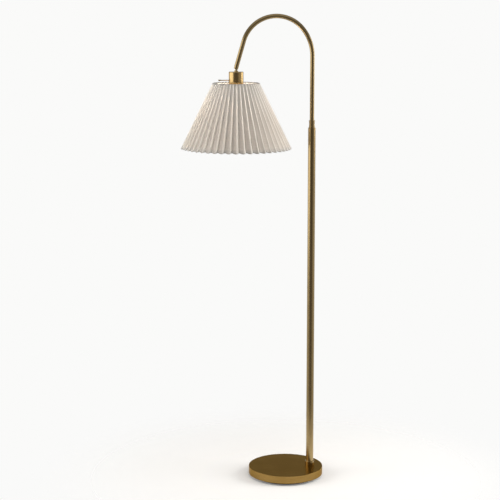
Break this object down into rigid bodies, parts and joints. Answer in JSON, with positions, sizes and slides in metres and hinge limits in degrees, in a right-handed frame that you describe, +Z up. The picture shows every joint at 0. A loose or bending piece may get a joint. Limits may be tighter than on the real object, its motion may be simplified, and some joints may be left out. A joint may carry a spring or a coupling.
{
  "type": "arc floor lamp",
  "caption": "Floor lamp with a round weighted base, an off-centre pole, a sliding and turning arm bent over in an arc, and a ball-jointed head with a pleated cone shade.",
  "frame": {"origin": "on the floor under the middle of the round base", "axes": "+Z up, the arm reaches towards -X, the pole stands on the +X side of the base, +Y is the lamp's back"},
  "size_m": [0.4809, 0.369, 1.5767],
  "materials": {
    "brass_finish": "antique brass plate, fine brushed, satin gloss",
    "cast_iron": "black painted cast iron",
    "pad": "black foam rubber",
    "black_plastic": "moulded, fine texture",
    "zinc_steel": "zinc plated",
    "turned_brass": "turned, uncoated",
    "nylon": "natural nylon",
    "porcelain": "white glaze",
    "wire": "white powder coat",
    "shade_cloth": "pleated linen weave",
    "bulb_glass": "frosted inside",
    "bulb_metal": "rolled",
    "bulb_black": "black vitrite glass",
    "filament": "phosphor coat, lit"
  },
  "bodies": {
    "base": {"base_cover": "brass_finish", "base_weight": "cast_iron", "base_pad": "pad", "cord_grommet": "black_plastic", "pole_stud": "zinc_steel", "stud_washer": "zinc_steel", "stud_nut": "zinc_steel", "pole_foot_ring": "brass_finish", "pole_bottom_plug": "turned_brass", "lower_pole": "brass_finish", "pole_coupling": "turned_brass", "upper_pole": "brass_finish", "pole_top_insert": "turned_brass", "collet": "nylon"},
    "lock_collar": {"lock_collar": "brass_finish"},
    "glide_bush": {"glide_bush": "nylon"},
    "arm": {"arm_tube": "brass_finish", "retaining_ring": "zinc_steel", "stop_ring": "zinc_steel", "swivel_housing": "brass_finish", "ball_seat": "nylon", "seat_spring": "zinc_steel", "swivel_nipple": "turned_brass"},
    "swivel": {"swivel_ball": "brass_finish", "spin_washer": "zinc_steel", "neck_nut": "zinc_steel"},
    "head": {"neck_dome": "brass_finish", "socket_cup": "brass_finish", "socket_carrier": "zinc_steel", "carrier_screws": "zinc_steel", "terminal_screws": "turned_brass", "socket_body": "porcelain", "screw_shell": "turned_brass", "centre_contact": "turned_brass", "switch_housing": "black_plastic", "bulb_glass": "bulb_glass", "bulb_cap": "bulb_metal", "bulb_insulator": "bulb_black", "bulb_contact": "bulb_metal", "bulb_stem": "bulb_glass", "bulb_filaments": "filament", "shade_fabric": "shade_cloth", "shade_top_ring": "wire", "shade_bottom_ring": "wire", "shade_fitter": "wire", "shade_spokes": "wire", "shade_ring_nut": "porcelain"},
    "switch_knob": {"switch_stem": "brass_finish", "switch_tip": "brass_finish"}
  },
  "joints": [
    {"name": "height_slide", "type": "slide", "parent": "base", "child": "glide_bush", "axis": [0, 0, 1], "range_m": [-0.2, 0.1]},
    {"name": "arm_turn", "type": "hinge", "parent": "glide_bush", "child": "arm", "pos_m": [0.084, 0, 1.2], "axis": [0, 0, 1], "range_deg": [-170, 170]},
    {"name": "head_tilt", "type": "hinge", "parent": "arm", "child": "swivel", "pos_m": [-0.16945, 0, 1.40103], "axis": [0, 1, 0], "range_deg": [-8, 80]},
    {"name": "head_spin", "type": "hinge", "parent": "swivel", "child": "head", "pos_m": [-0.16945, 0, 1.38803], "axis": [0, 0, 1], "range_deg": [-165, 165]},
    {"name": "switch_turn", "type": "hinge", "parent": "head", "child": "switch_knob", "pos_m": [-0.20945, 0, 1.36003], "axis": [-1, 0, 0], "continuous": true},
    {"name": "collar_twist", "type": "hinge", "parent": "base", "child": "lock_collar", "pos_m": [0.084, 0, 1.21], "axis": [0, 0, 1], "range_deg": [0, 270]}
  ]
}
